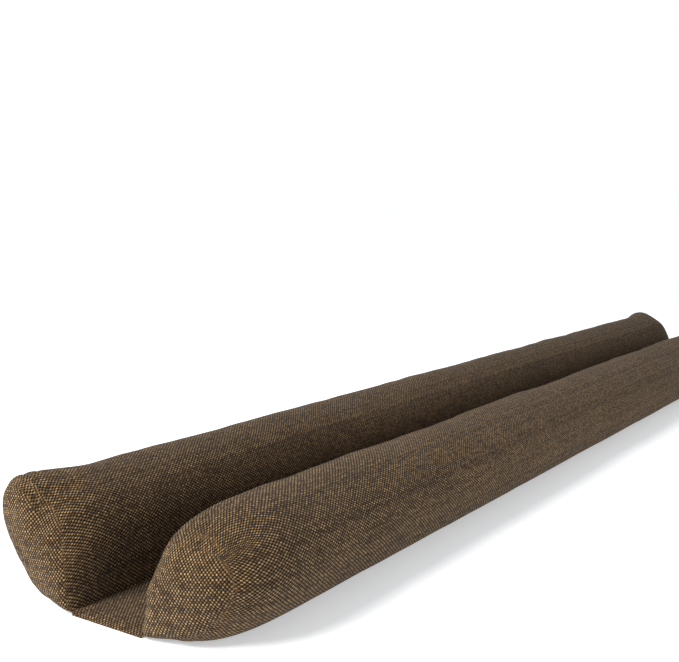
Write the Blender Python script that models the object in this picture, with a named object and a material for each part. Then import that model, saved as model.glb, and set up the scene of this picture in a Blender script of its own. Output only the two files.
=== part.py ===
"""Double-sided draught excluder for the foot of a door.

One cloth cover is filled as two long tubes, one for each face of the door,
and a flat web between them passes under the door. Metres, +Z up: the floor
is Z = 0, the tubes run along X, and the door's middle is the plane Y = 0.
"""

from collections import namedtuple

import bmesh
import bpy
import numpy as np

# Driving dimensions
LENGTH = 0.905             # between the two end edges of the web
DOOR_THICKNESS = 0.042     # width of the web, from stitch line to stitch line
TUBE_DIAMETER = 0.054
WEB_THICKNESS = 0.0024     # two layers of cloth
STITCH_THICKNESS = 0.0016  # the web where the stitches pull it down

# Whole section of a tube: a circle, square beside the door and flat on the
# floor, whose lower outer quarter is a little fuller
LOW_OUT = 0.030
LOW_UP = 0.028

# Closed end of a tube, a pillow face with a rim of changing squareness
END_DEPTH = 0.042          # the section is whole from here on
FACE_CENTRE = np.array([0.026, 0.022])
FACE_START = -0.0025       # the face bulges past the web's edge
LEAN_UP = -0.10            # it leans outwards to its top
LEAN_OUT = 0.10            # and back on its outer side
STRIP_WIDTH = 0.0014       # where the cloth from above and from below meets

# Pointed corner of the back tube, which is pulled out at the rim only
EAR_QUARTER = 2.4          # place round the section
EAR_WIDTH = 0.42           # in quarters
EAR_REACH = 0.0070
EAR_SQUARENESS = 4.1       # added to the rim's squareness
EAR_RISE = 1.5             # how late the pull sets in towards the face

# Soft unevenness of the filling along the tubes
SWELL = 0.0003
LONG_WAVE = 0.310
SHORT_WAVE = 0.117
SHORT_WAVE_SHARE = 0.6

# Points round the section and along the tube
FLAT_STEPS = 4
ARC_STEPS = 16
END_STEPS = 16
BODY_STEPS = 12
WEB_COLUMNS = (0.003, 0.015, 0.027, 0.039)   # distances from the back stitch line
SMOOTH_ANGLE = np.radians(50)
OUTLINE_STEPS = 1000
FINE_STEPS = 300
START_POWER = 8            # fine steps are shortest at the start, where the rim is steep
SHORTEST = 1e-7
MEET_QUARTER = 2.5         # lines from above and from below meet here on the section
MEET_SHARE = 0.8           # and end this far from the face's centre
STRIP_FADE = 0.85          # from here on the strip between them narrows

RADIUS = TUBE_DIAMETER / 2
FOOT = TUBE_DIAMETER - LOW_OUT   # width of a tube's flat part on the floor

# Squareness of the end's rim at places round the section, counted in quarters
# from the stitch line: 0 to 1 is the door's side, 2 the top, 3 the outside and
# 4 to 5 lies on the floor
QUARTERS = 5
RimRow = namedtuple("RimRow", "quarter squareness")
RIM_ROWS = (
    RimRow(0.0, 12.0),
    RimRow(0.6, 6.0),
    RimRow(1.3, 2.7),
    RimRow(2.0, 2.0),
    RimRow(3.0, 2.75),
    RimRow(3.5, 2.6),
    RimRow(4.3, 6.4),
    RimRow(5.0, 12.0),
)


def clear_scene():
    for old in list(bpy.data.objects):
        bpy.data.objects.remove(old, do_unlink=True)


def smooth_step(value):
    value = np.clip(value, 0, 1)
    return value * value * (3 - 2 * value)


def between(start, end, share):
    return start + (end - start) * share


def path_length(points):
    steps = np.linalg.norm(np.diff(points, axis=0), axis=1)
    return np.concatenate([[0], np.cumsum(steps)])


def section(quarter):
    """Whole section: distance out from the stitch line, and height."""
    index = np.clip(np.floor(quarter), 0, QUARTERS - 1).astype(int)
    part = quarter - index
    cos, sin = np.cos(part * np.pi / 2), np.sin(part * np.pi / 2)
    flat = 0 * part
    stretches = np.array([
        (flat, RADIUS * part),
        (RADIUS - RADIUS * cos, RADIUS + RADIUS * sin),
        (RADIUS + RADIUS * sin, RADIUS + RADIUS * cos),
        (FOOT + LOW_OUT * cos, LOW_UP - LOW_UP * sin),
        (FOOT * (1 - part), flat),
    ])
    return stretches[index, :, np.arange(len(part))]


def rim_squareness(quarter):
    rows = np.array(RIM_ROWS)
    index = np.clip(np.searchsorted(rows[:, 0], quarter, side="right") - 1, 0, len(rows) - 2)
    start, end = rows[index], rows[index + 1]
    part = (quarter - start[:, 0]) / (end[:, 0] - start[:, 0])
    return np.exp(between(np.log(start[:, 1]), np.log(end[:, 1]), smooth_step(part)))


def swing_from_foot(offset):
    """Angle about the face's centre, clockwise from the stitch line."""
    foot = np.arctan2(-FACE_CENTRE[1], -FACE_CENTRE[0])
    return (foot - np.arctan2(offset[:, 1], offset[:, 0])) % (2 * np.pi)


def section_outline():
    """Places all round the section: quarter, angle about the face's centre, distance from it."""
    quarters = np.linspace(0, QUARTERS, OUTLINE_STEPS + 1)
    offset = section(quarters) - FACE_CENTRE
    swings = swing_from_foot(offset)
    swings[0], swings[-1] = 0, 2 * np.pi
    return quarters, swings, np.linalg.norm(offset, axis=1)


def filled_end(place, ear, outline):
    """Put points of the section's face on the filled end: out, height and inset.

    An ear of 1 gives the tube its pointed corner, and 0 leaves it round.
    """
    quarters, swings, reaches = outline
    offset = place - FACE_CENTRE
    swing = swing_from_foot(offset)
    quarter = np.interp(swing, swings, quarters)
    share = np.linalg.norm(offset, axis=1) / np.interp(swing, swings, reaches)
    share = np.clip(share, 0, 1)
    near_ear = ear * np.exp(-((quarter - EAR_QUARTER) / EAR_WIDTH) ** 2)
    square = rim_squareness(quarter) + EAR_SQUARENESS * near_ear
    depth = (1 - share ** square) ** (1 / square)

    away = section(quarter) - RADIUS
    away /= np.linalg.norm(away, axis=1)[:, None]
    pull = EAR_REACH * near_ear * depth ** EAR_RISE * share
    place = place + away * pull[:, None]
    place[:, 1] = np.maximum(place[:, 1], 0)
    face = FACE_START + LEAN_OUT * place[:, 0] + LEAN_UP * place[:, 1]
    return np.column_stack([place, between(END_DEPTH, face, depth)])


def even_points(path, count):
    """Points along a fine path, by its length and by how much it bends."""
    steps = np.diff(path, axis=0)
    ways = steps / np.linalg.norm(steps, axis=1)[:, None]
    bends = np.arccos(np.clip((ways[1:] * ways[:-1]).sum(axis=1), -1, 1))
    measure = path_length(path)
    measure /= measure[-1]
    measure[1:-1] += np.cumsum(bends) / bends.sum()
    measure[-1] += 1
    target = np.linspace(0, measure[-1], count)
    return np.column_stack([np.interp(target, measure, axis) for axis in path.T])


def end_line(start, end, trim, ear, outline):
    """From one point of the whole section over the rim, less a trim at its end."""
    steps = np.linspace(0, 1, FINE_STEPS + 1)
    shares = np.sort(np.concatenate([steps ** START_POWER, steps[1:-1]]))
    fine = filled_end(between(start, end, shares[:, None]), ear, outline)
    reach = path_length(fine)
    total = reach[-1] - trim
    kept = (reach < total - SHORTEST) & (np.diff(reach, prepend=-1) > SHORTEST)
    last = [np.interp(total, reach, axis) for axis in fine.T]
    return even_points(np.vstack([fine[kept], last]), END_STEPS + 1)


def tube_end(ear):
    """Upper and lower lines of one closed end: rows from the face, columns from the stitch."""
    rises = np.concatenate([
        np.linspace(0, 1, FLAT_STEPS, endpoint=False),
        np.linspace(1, MEET_QUARTER, ARC_STEPS + 1),
    ])
    outline = section_outline()
    high, low = section(rises), section(QUARTERS - rises)
    shares = path_length(high) / path_length(high)[-1]
    tip = between(FACE_CENTRE, high[-1], MEET_SHARE)
    middle = tip * shares[:, None]
    trims = STRIP_WIDTH * (1 - smooth_step((shares - STRIP_FADE) / (1 - STRIP_FADE)))
    columns = range(1, len(rises))
    upper = [end_line(high[k], middle[k], trims[k], ear, outline) for k in columns]
    lower = [end_line(low[k], middle[k], 0, ear, outline) for k in columns]
    upper[-1] = lower[-1]

    beside = upper[0][:, 2]
    inset = END_DEPTH * (beside - beside[-1]) / (beside[0] - beside[-1])
    flat = np.zeros_like(inset)
    upper.insert(0, np.column_stack([flat, flat + STITCH_THICKNESS, inset]))
    lower.insert(0, np.column_stack([flat, flat, inset]))
    return np.stack(upper, axis=1)[::-1], np.stack(lower, axis=1)[::-1]


def ring(back_upper, back_lower, front_upper, front_lower):
    """One closed loop round both tubes and the web: rows of (inset, y, z)."""
    half = DOOR_THICKNESS / 2
    across = half - np.array(WEB_COLUMNS)
    inset = np.full_like(across, back_upper[0, 2])
    web_top = np.column_stack([inset, across, np.full_like(across, WEB_THICKNESS)])
    web_floor = np.column_stack([inset, across, np.zeros_like(across)])

    def tube(line, side):
        return np.column_stack([line[:, 2], side * (half + line[:, 0]), line[:, 1]])

    return np.concatenate([
        web_top,
        tube(front_upper, -1),
        tube(front_lower, -1)[-2::-1],
        web_floor[::-1],
        tube(back_lower, 1),
        tube(back_upper, 1)[-2::-1],
    ])


def loop_parts(loop):
    """The six stretches of a closed loop, in the order in which ring() lists them."""
    web = len(WEB_COLUMNS)
    side = FLAT_STEPS + ARC_STEPS + 1
    lengths = (web, side, side - 1, web, side, side - 1)
    ends = np.cumsum(lengths)
    return [loop[end - length:end] for end, length in zip(ends, lengths)]


def swell(rings):
    """Let the filling rise and sink a little along the tubes, never at the floor."""
    x, y, z = rings[..., 0], rings[..., 1], rings[..., 2]
    side = np.sign(y)
    long_wave = np.sin(2 * np.pi * x / LONG_WAVE + side)
    short_wave = np.sin(2 * np.pi * x / SHORT_WAVE - side)
    lift = np.clip(z / TUBE_DIAMETER, 0, 1) ** 2
    middle = smooth_step((LENGTH / 2 - np.abs(x)) / (3 * END_DEPTH))
    rings[..., 2] = z + SWELL * (long_wave + SHORT_WAVE_SHARE * short_wave) * lift * middle
    return rings


def all_rings():
    """Loops from one closed end of the cover to the other."""
    ends = np.array([ring(*lines) for lines in zip(*tube_end(1), *tube_end(0))])
    near = ends.copy()
    near[..., 0] -= LENGTH / 2
    far = ends[::-1].copy()
    far[..., 0] = LENGTH / 2 - far[..., 0]
    shares = np.linspace(0, 1, BODY_STEPS + 1)[1:-1]
    body = np.array([between(near[-1], far[0], value) for value in shares])
    return swell(np.concatenate([near, body, far]))


def close_end(bm, loop, turn_over):
    """Join the upper and the lower lines across the faces and at the web's end."""
    web_top, front_upper, front_lower, web_floor, back_lower, back_upper = loop_parts(loop)
    top = front_upper[-2::-1] + web_top[::-1] + back_upper[::-1]
    floor = front_lower + web_floor + back_lower[:-1]
    faces = [(front_upper[-1], floor[0], top[0]), (top[-1], floor[-1], back_lower[-1])]
    faces += zip(top, floor, floor[1:], top[1:])
    for face in faces:
        bm.faces.new(face[::-1] if turn_over else face)


def build_cover():
    bm = bmesh.new()
    loops = [[bm.verts.new(point) for point in row] for row in all_rings().tolist()]
    for one, two in zip(loops, loops[1:]):
        for a, b, c, d in zip(one, one[1:] + one[:1], two[1:] + two[:1], two):
            bm.faces.new((a, b, c, d))
    close_end(bm, loops[0], False)
    close_end(bm, loops[-1], True)
    bmesh.ops.recalc_face_normals(bm, faces=bm.faces)
    bmesh.ops.triangulate(bm, faces=bm.faces)
    mesh = bpy.data.meshes.new("twin_tube_cover")
    bm.to_mesh(mesh)
    bm.free()
    mesh.shade_smooth()
    mesh.set_sharp_from_angle(angle=SMOOTH_ANGLE)
    return mesh


def cover_material():
    material = bpy.data.materials.new("brown_coarse_weave")
    material.use_nodes = True
    shader = material.node_tree.nodes["Principled BSDF"]
    shader.inputs["Base Color"].default_value = (0.155, 0.095, 0.046, 1)
    shader.inputs["Roughness"].default_value = 0.92
    shader.inputs["Metallic"].default_value = 0.0
    return material


def main():
    clear_scene()
    cover = bpy.data.objects.new("twin_tube_cover", build_cover())
    cover.data.materials.append(cover_material())
    bpy.context.collection.objects.link(cover)


main()
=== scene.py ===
# %% [markdown]
# # A double-sided draught excluder
#
# Two long filled tubes of coarse brown cloth lie side by side on the floor, joined by a flat
# web. The whole cover is sewn from one panel of cloth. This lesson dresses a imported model
# that already has the right size: the shape of the filled cloth, its weave, and a quiet
# studio to see it in.

import bmesh
import bpy
import numpy as np
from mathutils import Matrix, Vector, noise


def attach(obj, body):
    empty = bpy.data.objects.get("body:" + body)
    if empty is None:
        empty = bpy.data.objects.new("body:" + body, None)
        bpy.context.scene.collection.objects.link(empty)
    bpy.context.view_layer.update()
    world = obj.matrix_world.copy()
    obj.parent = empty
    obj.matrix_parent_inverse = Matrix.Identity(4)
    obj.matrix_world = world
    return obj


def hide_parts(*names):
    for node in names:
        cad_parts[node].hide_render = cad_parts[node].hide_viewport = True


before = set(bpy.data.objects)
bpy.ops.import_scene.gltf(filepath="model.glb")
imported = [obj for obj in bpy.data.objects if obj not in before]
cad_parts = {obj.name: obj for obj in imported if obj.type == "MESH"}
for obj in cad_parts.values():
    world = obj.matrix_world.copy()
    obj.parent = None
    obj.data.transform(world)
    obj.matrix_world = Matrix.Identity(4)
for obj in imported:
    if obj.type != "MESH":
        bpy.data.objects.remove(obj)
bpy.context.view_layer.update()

# %% [markdown]
# ## Sizes
#
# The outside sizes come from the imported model. The maker's own sizes follow: how wide the
# web is, how thick the tubes are and how deep the closed ends. Lengths are in metres, the
# tubes run along X, the floor is Z = 0 and the middle of the web is Y = 0.

# %% Sizes
WEB_WIDTH = 0.042             # from stitch line to stitch line
DIAMETER = 0.054
LENGTH = 0.905                # between the two end edges of the web
WEB_TOP = 0.0024
STITCH_TOP = 0.0016
END_DEPTH = 0.042             # a tube has its whole section from here on
LOW_OUT = 0.030               # the lower outer quarter is a little fuller than a circle
LOW_UP = 0.028
TINY = 1e-12                  # keeps a division by a length of nothing from failing

RADIUS = DIAMETER / 2
FOOT = DIAMETER - LOW_OUT
print("width on the floor", round(2000 * (WEB_WIDTH / 2 + FOOT)), "mm")

# %% [markdown]
# ## The closed end of a tube
#
# On the real piece a filled tube ends like a pillow: the filling pushes the cloth out to a
# nearly flat face, and the rim round it is square where the cloth is tight and round where
# it has room. It is tight on the inner side and at the stitches, and softest on the top. The
# back tube's end has one pointed corner. A sphere or a bevelled cylinder has the same rim all
# round, so the end is worked out point by point: a share of 1 is the whole section, 0 the
# middle of the face, and between them the cloth follows a curve whose squareness is given at
# places round the section, counted in quarters.

# %% Helpers for smooth changes
def smooth_step(value):
    value = np.clip(value, 0, 1)
    return value * value * (3 - 2 * value)


def fade_in(value, start, end):
    return smooth_step((value - start) / (end - start))


def between(start, end, share):
    return start + (end - start) * share


def path_length(points):
    steps = np.linalg.norm(np.diff(points, axis=0), axis=1)
    return np.concatenate([[0], np.cumsum(steps)])


# %% The whole section and its rim
QUARTERS = 5
OUTLINE_STEPS = 1000
FACE_CENTRE = np.array([0.026, 0.022])
RIM_ROWS = np.array([          # quarters round the section, squareness of the rim
    (0.0, 12.0),               # 0 to 1 is the upright inner side
    (0.6, 6.0),
    (1.3, 2.7),
    (2.0, 2.0),                # 2 is the top
    (3.0, 2.75),               # 3 is the outside
    (3.5, 2.6),
    (4.3, 6.4),                # 4 to 5 lies on the floor
    (5.0, 12.0),
])


def section(quarter):
    """Whole section: distance out from the stitch line, and height."""
    index = np.clip(np.floor(quarter), 0, QUARTERS - 1).astype(int)
    part = quarter - index
    cos, sin = np.cos(part * np.pi / 2), np.sin(part * np.pi / 2)
    flat = 0 * part
    stretches = [
        (flat, RADIUS * part),
        (RADIUS - RADIUS * cos, RADIUS + RADIUS * sin),
        (RADIUS + RADIUS * sin, RADIUS + RADIUS * cos),
        (FOOT + LOW_OUT * cos, LOW_UP - LOW_UP * sin),
        (FOOT * (1 - part), flat),
    ]
    return np.array(stretches)[index, :, np.arange(len(part))]


def rim_squareness(quarter):
    index = np.clip(np.searchsorted(RIM_ROWS[:, 0], quarter, side="right") - 1, 0, len(RIM_ROWS) - 2)
    start, end = RIM_ROWS[index], RIM_ROWS[index + 1]
    part = (quarter - start[:, 0]) / (end[:, 0] - start[:, 0])
    return np.exp(between(np.log(start[:, 1]), np.log(end[:, 1]), smooth_step(part)))


def swing_from_foot(offset):
    """Angle about the face's centre, clockwise from the stitch line."""
    foot = np.arctan2(-FACE_CENTRE[1], -FACE_CENTRE[0])
    return (foot - np.arctan2(offset[:, 1], offset[:, 0])) % (2 * np.pi)


quarters = np.linspace(0, QUARTERS, OUTLINE_STEPS + 1)
outline = section(quarters)
swings = swing_from_foot(outline - FACE_CENTRE)
swings[0], swings[-1] = 0, 2 * np.pi
reaches = np.linalg.norm(outline - FACE_CENTRE, axis=1)
print("girth of a tube", round(1000 * path_length(outline)[-1]), "mm")

# %% The filled end
EAR_QUARTER = 2.4              # the back tube's pointed corner
EAR_WIDTH = 0.42
EAR_REACH = 0.0070
EAR_SQUARENESS = 4.1
EAR_RISE = 1.5
FACE_START = -0.0025           # the face bulges past the web's edge
LEAN_UP = -0.10                # and leans outwards to its top
LEAN_OUT = 0.10                # and back on its outer side


def filled_end(place, ear):
    """Put points of the section's face on the filled end: out, height and inset."""
    offset = place - FACE_CENTRE
    swing = swing_from_foot(offset)
    quarter = np.interp(swing, swings, quarters)
    share = np.linalg.norm(offset, axis=1) / np.interp(swing, swings, reaches)
    share = np.clip(share, 0, 1)
    near_ear = ear * np.exp(-((quarter - EAR_QUARTER) / EAR_WIDTH) ** 2)
    square = rim_squareness(quarter) + EAR_SQUARENESS * near_ear
    depth = (1 - share ** square) ** (1 / square)

    away = section(quarter) - RADIUS
    away /= np.linalg.norm(away, axis=1)[:, None]
    pull = EAR_REACH * near_ear * depth ** EAR_RISE * share
    place = place + away * pull[:, None]
    place[:, 1] = np.maximum(place[:, 1], 0)
    face = FACE_START + LEAN_OUT * place[:, 0] + LEAN_UP * place[:, 1]
    return np.column_stack([place, between(END_DEPTH, face, depth)])


# %% [markdown]
# Every loop of the cover has the same number of points, so the end is divided into lines
# that run from the whole section over the rim. Those from above and those from below meet on
# a straight line across the face, from the stitches to the far corner. Points stand closer
# together where a line bends.

# %% Lines from the whole section to the middle of the face
FINE_STEPS = 300
SHORTEST = 1e-7
START_POWER = 8                # fine steps are shortest at the start, where the rim is steep


def even_points(path, count):
    """Points along a fine path, by its length and by how much it bends."""
    steps = np.diff(path, axis=0)
    lengths = np.linalg.norm(steps, axis=1)
    ways = steps / lengths[:, None]
    bends = np.arccos(np.clip((ways[1:] * ways[:-1]).sum(axis=1), -1, 1))
    measure = path_length(path)
    measure /= measure[-1]
    measure[1:-1] += np.cumsum(bends) / bends.sum()
    measure[-1] += 1
    target = np.linspace(0, measure[-1], count)
    return np.column_stack([np.interp(target, measure, axis) for axis in path.T])


def end_line(start, end, trim, ear):
    """From one point of the whole section over the rim, less a trim at its end."""
    steps = np.linspace(0, 1, FINE_STEPS + 1)
    shares = np.sort(np.concatenate([steps ** START_POWER, steps[1:-1]]))
    fine = filled_end(between(start, end, shares[:, None]), ear)
    reach = path_length(fine)
    total = reach[-1] - trim
    inside = (reach < total - SHORTEST) & (np.diff(reach, prepend=-1) > SHORTEST)
    last = [np.interp(total, reach, axis) for axis in fine.T]
    return even_points(np.vstack([fine[inside], last]), END_STEPS + 1)


# %% [markdown]
# ## One loop of the cover
#
# A loop goes once round the whole cover: over the web, round the front tube, back under the
# web and round the back tube. Loops side by side make the skin, finely enough that soft
# dents and gathers can be formed in it later.

# %% Loops round the cover
FLAT_STEPS = 12
ARC_STEPS = 34
WEB_STEPS = 14
END_STEPS = 44
BODY_STEPS = 240
EAR_PLACE = 2.5                # where the lines from above and below meet, in quarters
TIP_SHARE = 0.8
STRIP_WIDTH = 0.0014           # they meet in a narrow strip of faces
STRIP_FADE = 0.85              # which narrows to nothing from this share to the corner
STITCH_DIP = 0.005             # the web is drawn down this far from its stitch lines
HEM_ROUND = 0.009              # the web's ends are rounded over this length
HEM_EDGE = 0.0004

rises = np.concatenate([
    np.linspace(0, 1, FLAT_STEPS, endpoint=False),
    np.linspace(1, EAR_PLACE, ARC_STEPS + 1),
])
across = np.linspace(WEB_WIDTH / 2, -WEB_WIDTH / 2, WEB_STEPS + 1)[1:-1]
SIDE = len(rises)
WEB = len(across)


def web_height(inset):
    """The web is two layers thick, drawn down at its stitch lines and rounded at its ends."""
    from_stitch = WEB_WIDTH / 2 - np.abs(across)
    flat = between(STITCH_TOP, WEB_TOP, fade_in(from_stitch, 0, STITCH_DIP))
    left = 1 - np.clip(inset / HEM_ROUND, 0, 1)
    return np.maximum(flat * np.sqrt(1 - left ** 2), HEM_EDGE)


def tube_end(ear):
    """Upper and lower lines of an end: rows from the face's middle, columns from the stitch."""
    high, low = section(rises), section(QUARTERS - rises)
    shares = path_length(high) / path_length(high)[-1]
    tip = between(FACE_CENTRE, high[-1], TIP_SHARE)
    middle = tip * shares[:, None]
    trims = STRIP_WIDTH * (1 - fade_in(shares, STRIP_FADE, 1))
    columns = range(1, SIDE)
    upper = [end_line(high[k], middle[k], trims[k], ear) for k in columns]
    lower = [end_line(low[k], middle[k], 0, ear) for k in columns]
    upper[-1] = lower[-1]

    beside = upper[0][:, 2]
    inset = END_DEPTH * (beside - beside[-1]) / (beside[0] - beside[-1])
    flat = np.zeros_like(inset)
    upper.insert(0, np.column_stack([flat, flat + STITCH_TOP, inset]))
    lower.insert(0, np.column_stack([flat, flat, inset]))
    return np.stack(upper, axis=1)[::-1], np.stack(lower, axis=1)[::-1]


def ring(back, front):
    """One closed loop: rows of (inset, y, z), from the back stitch line over the web."""
    inset = np.full(WEB, back[0][0, 2])
    web_top = np.column_stack([inset, across, web_height(inset)])
    web_floor = np.column_stack([inset, across, np.zeros(WEB)])
    half = WEB_WIDTH / 2

    def tube(line, side):
        return np.column_stack([line[:, 2], side * (half + line[:, 0]), line[:, 1]])

    return np.concatenate([
        web_top,
        tube(front[0], -1),
        tube(front[1], -1)[-2::-1],
        web_floor[::-1],
        tube(back[1], 1),
        tube(back[0], 1)[-2::-1],
    ])


def end_rings():
    """Loops of one closed end, from the middle of the face to the whole section."""
    back, front = tube_end(1), tube_end(0)
    return np.array([ring(one, other) for one, other in zip(zip(*back), zip(*front))])


def all_rings():
    ends = end_rings()
    near = ends.copy()
    near[..., 0] -= LENGTH / 2
    far = ends[::-1].copy()
    far[..., 0] = LENGTH / 2 - far[..., 0]
    shares = np.linspace(0, 1, BODY_STEPS + 1)[1:-1]
    body = np.array([between(near[-1], far[0], value) for value in shares])
    return np.concatenate([near, body, far])


rings = all_rings()
print("skin grid", rings.shape)

# %% [markdown]
# Neighbouring loops are joined by faces with four corners, and a narrow strip closes each
# end. The same functions serve the fine skin and a coarse copy of it for the simulation.

# %% Faces of the skin
def loop_parts(loop):
    """The six stretches of a closed loop, in the order in which ring() lists them."""
    lengths = (WEB, SIDE, SIDE - 1, WEB, SIDE, SIDE - 1)
    ends = np.cumsum(lengths)
    return [loop[end - length:end] for end, length in zip(ends, lengths)]


def edge_columns():
    """Columns of the upper and the lower edge at an end, from the front tip to the back one."""
    web_top, front_upper, front_lower, web_floor, back_lower, back_upper = loop_parts(
        np.arange(rings.shape[1]))
    top = np.concatenate([front_upper[-2::-1], web_top[::-1], back_upper[::-1]])
    floor = np.concatenate([front_lower, web_floor, back_lower[:-1]])
    return top, floor, front_upper[-1], back_lower[-1]


def skin_faces(rows, columns):
    """Quads of the tube-shaped grid, and the corners' columns with the last one unwrapped."""
    faces, corners = [], []
    for row in range(rows - 1):
        for column in range(columns):
            after = (column + 1) % columns
            faces.append((row * columns + column, row * columns + after,
                          (row + 1) * columns + after, (row + 1) * columns + column))
            corners.append(((row, column), (row, column + 1), (row + 1, column + 1), (row + 1, column)))
    return faces, corners


def strip_faces(row, columns, turn_over, step=1):
    """Faces of the narrow strip that closes one end; with step 2, over every second column."""
    top, floor, front_tip, back_tip = edge_columns()
    top, floor = top[step - 1::step], floor[step - 1::step]
    faces = [(front_tip, floor[0], top[0]), (top[-1], floor[-1], back_tip)]
    faces += [tuple(four) for four in zip(top, floor, floor[1:], top[1:])]
    if turn_over:
        faces = [face[::-1] for face in faces]
    return [tuple(int(row * columns + corner // step) for corner in face) for face in faces]


def turn_outwards(mesh):
    shell = bmesh.new()
    shell.from_mesh(mesh)
    bmesh.ops.recalc_face_normals(shell, faces=shell.faces)
    shell.to_mesh(mesh)
    shell.free()


def add_object(name, data):
    made = bpy.data.objects.new(name, data)
    bpy.context.scene.collection.objects.link(made)
    return made


# %% [markdown]
# ## Letting the filled cloth settle
#
# The loops above have the measured shape of the filled cover, and a short cloth simulation
# settles it. It runs on a coarse copy of the loops, with a point every few millimetres, so a
# few seconds are enough. Air pressure stands in for the loose filling. Gravity is off,
# because the shape already lies as it should, and the cloth is held where it lies on the
# floor, on the web and along the stitches. The cloth moves by less than half a millimetre,
# here outwards and there inwards, so the cover keeps its measured size. The movement is then
# spread over the fine loops.

# %% Cloth simulation of the filled cover
COLUMN_STEP = 2               # the coarse copy has every second column
END_STEP = 4                  # every fourth loop of a closed end
BODY_STEP = 3                 # and every third loop between the ends
MOVE_CAP = 0.0015             # no point moves further than this
PRESSURE = 10.0
LAST_FRAME = 20
HELD_HEIGHT = 0.010           # cloth up to here is held by the floor
SMOOTH_PASSES = 6


def free_share(points, reach):
    """0 where the floor, the web and the stitches hold the cloth, 1 beyond their reach."""
    out = np.abs(points[..., 1]) - WEB_WIDTH / 2
    return fade_in(points[..., 2], 0, reach) * fade_in(out, 0, reach)


def coarse_rows():
    whole = END_STEPS + BODY_STEPS
    return np.unique(np.concatenate([
        np.arange(0, END_STEPS + 1, END_STEP),
        np.arange(END_STEPS, whole + 1, BODY_STEP),
        np.arange(whole, whole + END_STEPS + 1, END_STEP),
    ]))


def cloth_copy(points):
    """A closed mesh of the coarse loops, held by its vertex group."""
    rows, columns = points.shape[:2]
    faces = skin_faces(rows, columns)[0]
    faces += strip_faces(0, columns, False, COLUMN_STEP)
    faces += strip_faces(rows - 1, columns, True, COLUMN_STEP)
    mesh = bpy.data.meshes.new("cloth_copy")
    mesh.from_pydata(points.reshape(-1, 3).tolist(), [], faces)
    turn_outwards(mesh)
    made = add_object("cloth_copy", mesh)
    held = made.vertex_groups.new(name="held")
    for index, share in enumerate(free_share(points, HELD_HEIGHT).ravel().tolist()):
        held.add([index], 1 - share, "REPLACE")
    return made


def simulate(points):
    """How far the pressed cloth moves from these points, under the cap."""
    made = cloth_copy(points)
    filling = made.modifiers.new("filling", "CLOTH")
    filling.settings.vertex_group_mass = "held"
    filling.settings.use_pressure = True
    filling.settings.uniform_pressure_force = PRESSURE
    filling.settings.effector_weights.gravity = 0
    filling.collision_settings.use_collision = False
    filling.point_cache.frame_start = 1
    filling.point_cache.frame_end = LAST_FRAME
    for number in range(1, LAST_FRAME + 1):
        bpy.context.scene.frame_set(number)
    shaped = made.evaluated_get(bpy.context.evaluated_depsgraph_get()).data
    places = np.zeros(len(shaped.vertices) * 3)
    shaped.vertices.foreach_get("co", places)
    movement = places.reshape(points.shape) - points
    bpy.context.scene.frame_set(1)
    mesh = made.data
    bpy.data.objects.remove(made, do_unlink=True)
    bpy.data.meshes.remove(mesh)
    length = np.linalg.norm(movement, axis=2, keepdims=True)
    print("settling moves the cloth by up to", round(1000 * float(length.max()), 1), "mm")
    return movement * np.minimum(1, MOVE_CAP / np.maximum(length, TINY))


def spread(movement, rows, shape):
    """From the coarse copy to every point of the fine loops, smoothed."""
    lengthwise = np.stack([
        np.stack([np.interp(np.arange(shape[0]), rows, line) for line in column.T], axis=1)
        for column in movement.transpose(1, 0, 2)], axis=1)
    fine = np.zeros(shape)
    fine[:, 1::2] = lengthwise
    fine[:, 0::2] = (lengthwise + np.roll(lengthwise, 1, axis=1)) / 2
    for _ in range(SMOOTH_PASSES):
        fine = (np.roll(fine, 1, axis=1) + 2 * fine + np.roll(fine, -1, axis=1)) / 4
        wide = np.pad(fine, ((1, 1), (0, 0), (0, 0)), mode="edge")
        fine = (wide[:-2] + 2 * fine + wide[2:]) / 4
    return fine


def settle(points):
    rows = coarse_rows()
    movement = simulate(points[rows][:, 1::COLUMN_STEP])
    free = free_share(points, HELD_HEIGHT)[..., None]
    settled = points + spread(movement, rows, points.shape) * free
    settled[..., 2] = np.maximum(settled[..., 2], 0)
    return settled


rings = settle(rings)

# %% [markdown]
# ## Soft unevenness
#
# The real filling is loose, so the cloth over it rises and sinks by about half a millimetre,
# and where it is closed it gathers into a few small puckers on top of each end. Noise and a
# short fading wave move each point along the surface's own normal. The floor side, the web
# and the stitch lines stay where they are.

# %% Lumps and puckers
LUMP = 0.0011                 # height of the broad lumps
LUMP_SCALE = 17.0
DENT = 0.0004                 # and of the smaller ones
DENT_SCALE = 55.0
PUCKER = 0.00045
PUCKER_WAVE = 0.0058
PUCKER_LENGTH = 0.026         # how far in from the end they reach
PUCKER_START = 0.6            # and from which share of the tube's height they grow
PUCKER_TOP = 0.95
FREE_HEIGHT = 0.012           # cloth lower than this keeps its place


def lump_field(points, scale):
    flat = [noise.noise(Vector(point) * scale) for point in points.reshape(-1, 3).tolist()]
    return np.array(flat).reshape(points.shape[:2])


def grid_normals(points):
    along = np.gradient(points, axis=0)
    around = np.roll(points, -1, axis=1) - np.roll(points, 1, axis=1)
    normals = np.cross(along, around)
    return normals / np.maximum(np.linalg.norm(normals, axis=2, keepdims=True), TINY)


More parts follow.
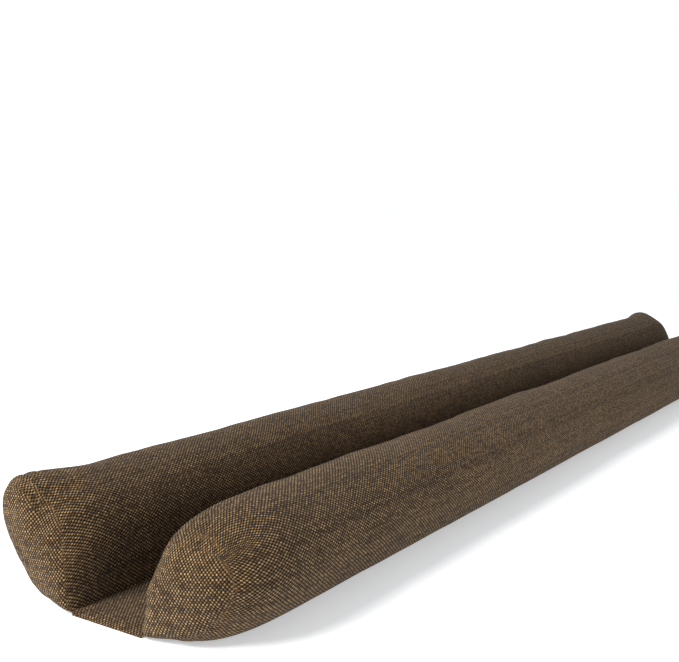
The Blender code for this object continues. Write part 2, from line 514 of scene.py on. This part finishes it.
def uneven(points):
    free = free_share(points, FREE_HEIGHT)
    from_end = LENGTH / 2 - np.abs(points[..., 0])
    on_top = fade_in(points[..., 2], PUCKER_START * DIAMETER, PUCKER_TOP * DIAMETER)
    fading = 1 - fade_in(from_end, 0, PUCKER_LENGTH)
    puckers = PUCKER * np.sin(2 * np.pi * from_end / PUCKER_WAVE) * fading * on_top
    lumps = LUMP * lump_field(points, LUMP_SCALE) + DENT * lump_field(points, DENT_SCALE)
    moved = points + grid_normals(points) * ((lumps + puckers) * free)[..., None]
    moved[..., 2] = np.maximum(moved[..., 2], 0)
    return moved


rings = uneven(rings)
print("lumps up to", round(1000 * LUMP, 1), "mm")

# %% [markdown]
# ## Where the cloth's yarns run
#
# A weave has to follow the cloth, so the skin carries two maps, counted in yarns. On the
# tubes and the web, u is the length along the cloth and v the way round the girth, as on the
# flat panel. The end faces show their yarns almost level and upright, so there u and v are
# the face's own width and height, turned a little and spread out over the rim. A third value
# says how much of an end face a point belongs to, and the material mixes the two with it.

# %% Maps for the weave
PANEL_PITCH = (0.00115, 0.00085)   # distances between yarns, along the tube and round it
END_PITCH = (0.00082, 0.00103)     # and across and up an end face
END_TURN = np.radians(6)      # the yarns on an end face rise a little towards the front
RIM_SPREAD = 0.35             # cloth that a millimetre of depth adds on the rim


def panel_maps(points):
    """u along each lengthwise line and v round the whole loop, in yarns."""
    steps = np.linalg.norm(np.diff(points, axis=0), axis=2)
    u = np.concatenate([np.zeros((1, points.shape[1])), np.cumsum(steps, axis=0)])
    middle = points.shape[0] // 2
    u = u - u[middle] + points[middle, :, 0]
    whole = points[middle]
    turns = np.linalg.norm(np.roll(whole, -1, axis=0) - whole, axis=1)
    v = np.concatenate([[0], np.cumsum(turns)])
    return u / PANEL_PITCH[0], v / PANEL_PITCH[1]


def end_maps(points):
    """Width and height of the end face, spread over its rim and turned by a few degrees."""
    side = np.sign(points[..., 1])
    out = np.abs(points[..., 1]) - WEB_WIDTH / 2
    face = FACE_START + LEAN_OUT * out + LEAN_UP * points[..., 2]
    depth = np.clip(LENGTH / 2 - np.abs(points[..., 0]) - face, 0, END_DEPTH)
    out, up = out - FACE_CENTRE[0], points[..., 2] - FACE_CENTRE[1]
    wider = 1 + RIM_SPREAD * depth / np.hypot(out, up)
    y, z = side * out * wider, up * wider
    cos, sin = np.cos(END_TURN), np.sin(END_TURN)
    return (y * cos - z * sin) / END_PITCH[0], (y * sin + z * cos) / END_PITCH[1]


panel_u, panel_v = panel_maps(rings)
end_u, end_v = end_maps(rings)
print("yarns round the whole cover", round(panel_v[-1]))

# %% Skin of the cover
def make_cover():
    """The closed skin with its two yarn maps."""
    rows, columns = rings.shape[:2]
    faces, corners = skin_faces(rows, columns)
    near = strip_faces(0, columns, False)
    far = strip_faces(rows - 1, columns, True)
    mesh = bpy.data.meshes.new("cloth_cover")
    mesh.from_pydata(rings.reshape(-1, 3).tolist(), [], faces + near + far)
    panel = mesh.uv_layers.new(name="panel")
    end_face = mesh.uv_layers.new(name="end_face")
    flat_corners = np.array(corners).reshape(-1, 2)
    row_index, column_index = flat_corners[:, 0], flat_corners[:, 1]
    wrapped = column_index % columns
    grid_panel = np.column_stack([panel_u[row_index, wrapped], panel_v[column_index]])
    strip_vertices = np.array([corner for face in near + far for corner in face])
    strip_row, strip_column = np.divmod(strip_vertices, columns)
    strip_panel = np.column_stack([panel_u[strip_row, strip_column], panel_v[strip_column]])
    panel.data.foreach_set("uv", np.concatenate([grid_panel, strip_panel]).ravel())
    loop_vertices = np.zeros(len(mesh.loops), int)
    mesh.loops.foreach_get("vertex_index", loop_vertices)
    end_values = np.column_stack([end_u.ravel()[loop_vertices], end_v.ravel()[loop_vertices]])
    end_face.data.foreach_set("uv", end_values.ravel())
    turn_outwards(mesh)
    return add_object("cloth_cover", mesh)


cover = make_cover()
print("cover", len(cover.data.polygons), "faces")

# %% [markdown]
# ## The weave
#
# The cloth is a coarse plain weave of two colours: thick beige yarns one way, dark brown
# ones the other, each about a millimetre wide. Where a beige yarn lies on top it shows as
# a light fleck, so the flecks stand in staggered rows. No picture is needed for this: the
# whole number of the yarn map says which crossing a point is in, and the fraction says
# where in it. Both give the colour and the height of the rounded yarn for a bump. The colour
# is darkened where the yarn lies low, as painted shade, darkest in the gaps between yarns.

# %% Helpers for nodes
class Tree:
    """Adds nodes to a tree and links them, so that a formula reads from left to right."""

    def __init__(self, tree):
        self.tree = tree

    def node(self, kind, **settings):
        made = self.tree.nodes.new(kind)
        for name, value in settings.items():
            setattr(made, name, value)
        return made

    def feed(self, socket, value):
        if isinstance(value, bpy.types.NodeSocket):
            self.tree.links.new(value, socket)
        else:
            socket.default_value = value

    def math(self, operation, first, second=0.0, third=0.0):
        made = self.node("ShaderNodeMath", operation=operation)
        for socket, value in zip(made.inputs, (first, second, third)):
            self.feed(socket, value)
        return made.outputs[0]

    def mix(self, factor, first, second):
        made = self.node("ShaderNodeMix", data_type="FLOAT")
        for socket, value in zip((made.inputs[0], made.inputs[2], made.inputs[3]), (factor, first, second)):
            self.feed(socket, value)
        return made.outputs[0]

    def mix_colour(self, factor, first, second, blend_type="MIX"):
        made = self.node("ShaderNodeMix", data_type="RGBA", blend_type=blend_type)
        for socket, value in zip((made.inputs[0], made.inputs[6], made.inputs[7]), (factor, first, second)):
            self.feed(socket, value)
        return made.outputs[2]

    def dimmed(self, colour, share):
        """A colour times a number."""
        grey = self.node("ShaderNodeCombineColor")
        for socket in grey.inputs:
            self.feed(socket, share)
        return self.mix_colour(1.0, colour, grey.outputs[0], "MULTIPLY")

    def vector(self, x, y, z=0.0):
        made = self.node("ShaderNodeCombineXYZ")
        for socket, value in zip(made.inputs, (x, y, z)):
            self.feed(socket, value)
        return made.outputs[0]

    def noise(self, place, scale, detail=2.0):
        made = self.node("ShaderNodeTexNoise")
        self.feed(made.inputs["Vector"], place)
        made.inputs["Scale"].default_value = scale
        made.inputs["Detail"].default_value = detail
        return made.outputs["Fac"]

    def faded(self, value, starts, ends):
        """Goes smoothly from the second value of starts to that of ends."""
        made = self.node("ShaderNodeMapRange", interpolation_type="SMOOTHSTEP")
        settings = {"Value": value, "From Min": starts[0], "From Max": ends[0],
                    "To Min": starts[1], "To Max": ends[1]}
        for name, setting in settings.items():
            self.feed(made.inputs[name], setting)
        return made.outputs[0]

    def chance(self, x, y):
        """The same random number all over one cell."""
        made = self.node("ShaderNodeTexWhiteNoise", noise_dimensions="2D")
        self.feed(made.inputs["Vector"], self.vector(x, y))
        return made.outputs["Value"]


# %% One crossing of the plain weave
WANDER = 0.38                 # how far a yarn strays, in yarns
STRAY_SCALE = 0.17            # over this many strays for each yarn
LIGHT_YARN = ((0.093, 0.050, 0.019, 1), (0.450, 0.285, 0.128, 1))
DARK_YARN = ((0.0060, 0.0025, 0.0006, 1), (0.027, 0.0115, 0.0028, 1))
ROUND_POWER = 0.9             # how round a yarn is across
ARCH = (0.6, 0.4)             # factor and start of its rise along a crossing
PLUMP = (0.3, 0.7)            # and of its thickness from crossing to crossing
TWIST = (6.0, 1.6)            # fibres for each yarn, across and along it
YARN_SHARE = 0.35             # how much of the shade is the whole yarn's
CROSSING_SHARE = 0.65
# painted shade: the yarns' colour is darkened where the yarns and their fibres lie low, darkest in the gaps
# between yarns
PAINTED_GAP_SHADE = (1.0, 0.15)             # light by height
PAINTED_FIBRE_SHADE = (0.7, 0.65)       # and by fibre
FIBRE_HEIGHT = 0.12


def weave_group():
    """A map in yarns goes in; the colour of the yarns, with painted shade where they lie low, and their
    height come out.
    """
    group = bpy.data.node_groups.new("plain_weave", "ShaderNodeTree")
    group.interface.new_socket("Map", in_out="INPUT", socket_type="NodeSocketVector")
    group.interface.new_socket("Colour", in_out="OUTPUT", socket_type="NodeSocketColor")
    group.interface.new_socket("Height", in_out="OUTPUT", socket_type="NodeSocketFloat")
    t = Tree(group)
    given = t.node("NodeGroupInput").outputs["Map"]
    result = t.node("NodeGroupOutput")
    split = t.node("ShaderNodeSeparateXYZ")
    t.feed(split.inputs[0], given)

    stray_u = t.math("MULTIPLY", t.math("SUBTRACT", t.noise(given, STRAY_SCALE), 0.5), 2 * WANDER)
    moved = t.vector(split.outputs[1], split.outputs[0])
    stray_v = t.math("MULTIPLY", t.math("SUBTRACT", t.noise(moved, STRAY_SCALE), 0.5), 2 * WANDER)
    across_u = t.math("ADD", split.outputs[0], stray_u)
    across_v = t.math("ADD", split.outputs[1], stray_v)
    cell_u = t.math("FLOOR", across_u)
    cell_v = t.math("FLOOR", across_v)
    part_u = t.math("SUBTRACT", t.math("SUBTRACT", across_u, cell_u), 0.5)
    part_v = t.math("SUBTRACT", t.math("SUBTRACT", across_v, cell_v), 0.5)
    light_on_top = t.math("FLOORED_MODULO", t.math("ADD", cell_u, cell_v), 2.0)

    round_u = t.math("COSINE", t.math("MULTIPLY", part_u, np.pi))
    round_v = t.math("COSINE", t.math("MULTIPLY", part_v, np.pi))
    across_yarn = t.mix(light_on_top, round_u, round_v)
    along_yarn = t.mix(light_on_top, round_v, round_u)
    rounded = t.math("POWER", t.math("MAXIMUM", across_yarn, 0.0), ROUND_POWER)
    arched = t.math("MULTIPLY_ADD", t.math("MAXIMUM", along_yarn, 0.0), *ARCH)
    fleck = t.chance(cell_u, cell_v)
    plump = t.math("MULTIPLY_ADD", fleck, *PLUMP)
    height = t.math("MULTIPLY", t.math("MULTIPLY", rounded, arched), plump)

    twist_u, twist_v = [
        t.vector(t.math("MULTIPLY", across, TWIST[0]), t.math("MULTIPLY", along, TWIST[1]))
        for across, along in ((across_u, across_v), (across_v, across_u))]
    fibres = t.mix(light_on_top, t.noise(twist_u, 1.0), t.noise(twist_v, 1.0))
    yarn_u = t.chance(cell_u, 3.0)
    yarn_v = t.chance(cell_v, 7.0)
    yarn = t.mix(light_on_top, yarn_u, yarn_v)
    shade = t.math("MULTIPLY_ADD", yarn, YARN_SHARE, t.math("MULTIPLY", fleck, CROSSING_SHARE))

    light = t.mix_colour(shade, LIGHT_YARN[0], LIGHT_YARN[1])
    dark = t.mix_colour(shade, DARK_YARN[0], DARK_YARN[1])
    colour = t.mix_colour(light_on_top, dark, light)
    # painted shade: the colour times the height of the yarns and of their fibres
    painted_shade = t.math("MULTIPLY", t.math("MULTIPLY_ADD", height, *PAINTED_GAP_SHADE), t.math("MULTIPLY_ADD", fibres, *PAINTED_FIBRE_SHADE))
    t.feed(result.inputs["Colour"], t.dimmed(colour, painted_shade))
    t.feed(result.inputs["Height"], t.math("MULTIPLY_ADD", fibres, FIBRE_HEIGHT, height))
    return group


# %% [markdown]
# ## The cover's material
#
# The weave is worked out twice, once for each map, and mixed on the rim of the end faces.
# Broad soft clouds of lighter and darker cloth lie over it, as on any dyed coarse yarn.

# %% Cover material
BUMP_HEIGHT = 0.00032
CLOUD_SCALE = 45
CLOUDS = (0.5, 0.75)          # factor and start of their light
END_FACING = (0.62, 0.74)     # how far the cloth faces along the tubes where the maps mix


def cover_material():
    material = bpy.data.materials.new("brown_plain_weave")
    material.use_nodes = True
    t = Tree(material.node_tree)
    shader = material.node_tree.nodes["Principled BSDF"]
    shader.inputs["Roughness"].default_value = 0.95
    shader.inputs["Specular IOR Level"].default_value = 0.15
    shader.inputs["Sheen Weight"].default_value = 0.05
    shader.inputs["Sheen Roughness"].default_value = 0.6

    group = weave_group()
    woven = []
    for name in ("panel", "end_face"):
        place = t.node("ShaderNodeUVMap", uv_map=name)
        weave = t.node("ShaderNodeGroup", node_tree=group)
        t.feed(weave.inputs["Map"], place.outputs[0])
        woven.append(weave)
    share = t.node("ShaderNodeAttribute", attribute_name="end_share").outputs["Fac"]
    colour = t.mix_colour(share, woven[0].outputs["Colour"], woven[1].outputs["Colour"])
    height = t.mix(share, woven[0].outputs["Height"], woven[1].outputs["Height"])

    where = t.node("ShaderNodeTexCoord").outputs["Object"]
    clouds = t.math("MULTIPLY_ADD", t.noise(where, CLOUD_SCALE, 3.0), *CLOUDS)
    t.feed(shader.inputs["Base Color"], t.dimmed(colour, clouds))

    bump = t.node("ShaderNodeBump")
    bump.inputs["Strength"].default_value = 1.0
    bump.inputs["Distance"].default_value = BUMP_HEIGHT
    t.feed(bump.inputs["Height"], height)
    t.feed(shader.inputs["Normal"], bump.outputs[0])
    return material


def mark_end_faces(cover):
    """Store how much of an end face each point is, by how far it faces along the tubes."""
    mesh = cover.data
    normals = np.array([normal.vector[:] for normal in mesh.vertex_normals])
    places = np.zeros(len(mesh.vertices) * 3)
    mesh.vertices.foreach_get("co", places)
    beyond = np.abs(places.reshape(-1, 3)[:, 0]) > LENGTH / 2 - END_DEPTH
    share = fade_in(np.abs(normals[:, 0]), *END_FACING) * beyond
    attribute = mesh.attributes.new("end_share", "FLOAT", "POINT")
    attribute.data.foreach_set("value", share)


mark_end_faces(cover)
cover.data.shade_smooth()
cover.data.materials.append(cover_material())
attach(cover, "root")
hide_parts("twin_tube_cover")

# %% [markdown]
# ## Studio and camera
#
# The object lies on a wide pale floor between white walls, under a darker ceiling. The floor
# glows a little, and more so far off, where the lamp doesn't reach. One big soft lamp stands
# at the near end, a little behind, so the end faces are bright, the long front side is darker
# and a soft shadow falls to the front. The camera is level, low and close to the near end.
# Its view is shifted down instead of tilted, which keeps upright edges upright.

# %% Floor
FLOOR_SIZE = 60.0
NEAR_GLOW = (1.2, 0.44)       # distance from the object and strength there
FAR_GLOW = (3.2, 0.68)

bpy.ops.object.select_all(action="DESELECT")
bpy.ops.mesh.primitive_plane_add(size=FLOOR_SIZE, location=(0, 0, 0))
floor = bpy.context.active_object
floor.name = "studio_floor"

pale = bpy.data.materials.new("pale_floor")
pale.use_nodes = True
pale_shader = pale.node_tree.nodes["Principled BSDF"]
pale_shader.inputs["Base Color"].default_value = (0.88, 0.89, 0.90, 1)
pale_shader.inputs["Emission Color"].default_value = (0.94, 0.97, 1.0, 1)
pale_shader.inputs["Roughness"].default_value = 0.7
pale_shader.inputs["Specular IOR Level"].default_value = 0.1
t = Tree(pale.node_tree)
distance = t.node("ShaderNodeVectorMath", operation="LENGTH")
t.feed(distance.inputs[0], t.node("ShaderNodeTexCoord").outputs["Object"])
glow = t.faded(distance.outputs["Value"], NEAR_GLOW, FAR_GLOW)
t.feed(pale_shader.inputs["Emission Strength"], glow)
floor.data.materials.append(pale)
print("floor", FLOOR_SIZE, "m wide")

# %% Walls, ceiling and lamp
WALLS = (0.20, 1.0)           # height of the direction looked in, and brightness
CEILING = (0.70, 0.34)
LAMP_PLACE = Vector((-1.75, 0.50, 1.35))
LAMP_AIM = Vector((-0.3, 0, 0))
LAMP_SIZE = 1.0
LAMP_POWER = 54

world = bpy.data.worlds.new("white_sky")
world.use_nodes = True
sky = world.node_tree.nodes["Background"]
sky.inputs["Color"].default_value = (1.0, 1.0, 1.0, 1)
t = Tree(world.node_tree)
direction = t.node("ShaderNodeSeparateXYZ")
t.feed(direction.inputs[0], t.node("ShaderNodeTexCoord").outputs["Generated"])
t.feed(sky.inputs["Strength"], t.faded(direction.outputs["Z"], WALLS, CEILING))
bpy.context.scene.world = world
bpy.context.scene.view_settings.view_transform = "Standard"

lamp_data = bpy.data.lights.new("key", "AREA")
lamp_data.shape = "DISK"
lamp_data.size = LAMP_SIZE
lamp_data.energy = LAMP_POWER
lamp_data.color = (1.0, 0.98, 0.95)
lamp = add_object("key", lamp_data)
lamp.location = LAMP_PLACE
lamp.rotation_euler = (LAMP_AIM - LAMP_PLACE).to_track_quat("-Z", "Y").to_euler()
print("lamp", LAMP_POWER, "W")

# %% Camera
CAMERA_PLACE = (-0.7509, -0.3227, 0.1766)
CAMERA_TURN = -55.8           # degrees from looking along +Y, to the right
LENS = 53.55
VIEW_SHIFT = -0.178

camera_data = bpy.data.cameras.new("camera")
camera_data.lens = LENS
camera_data.shift_y = VIEW_SHIFT
camera_data.clip_start = 0.01
camera = add_object("camera", camera_data)
camera.location = CAMERA_PLACE
camera.rotation_euler = (np.radians(90), 0, np.radians(CAMERA_TURN))
bpy.context.scene.camera = camera
print("camera", CAMERA_PLACE)

# %% Update the scene
bpy.context.view_layer.update()
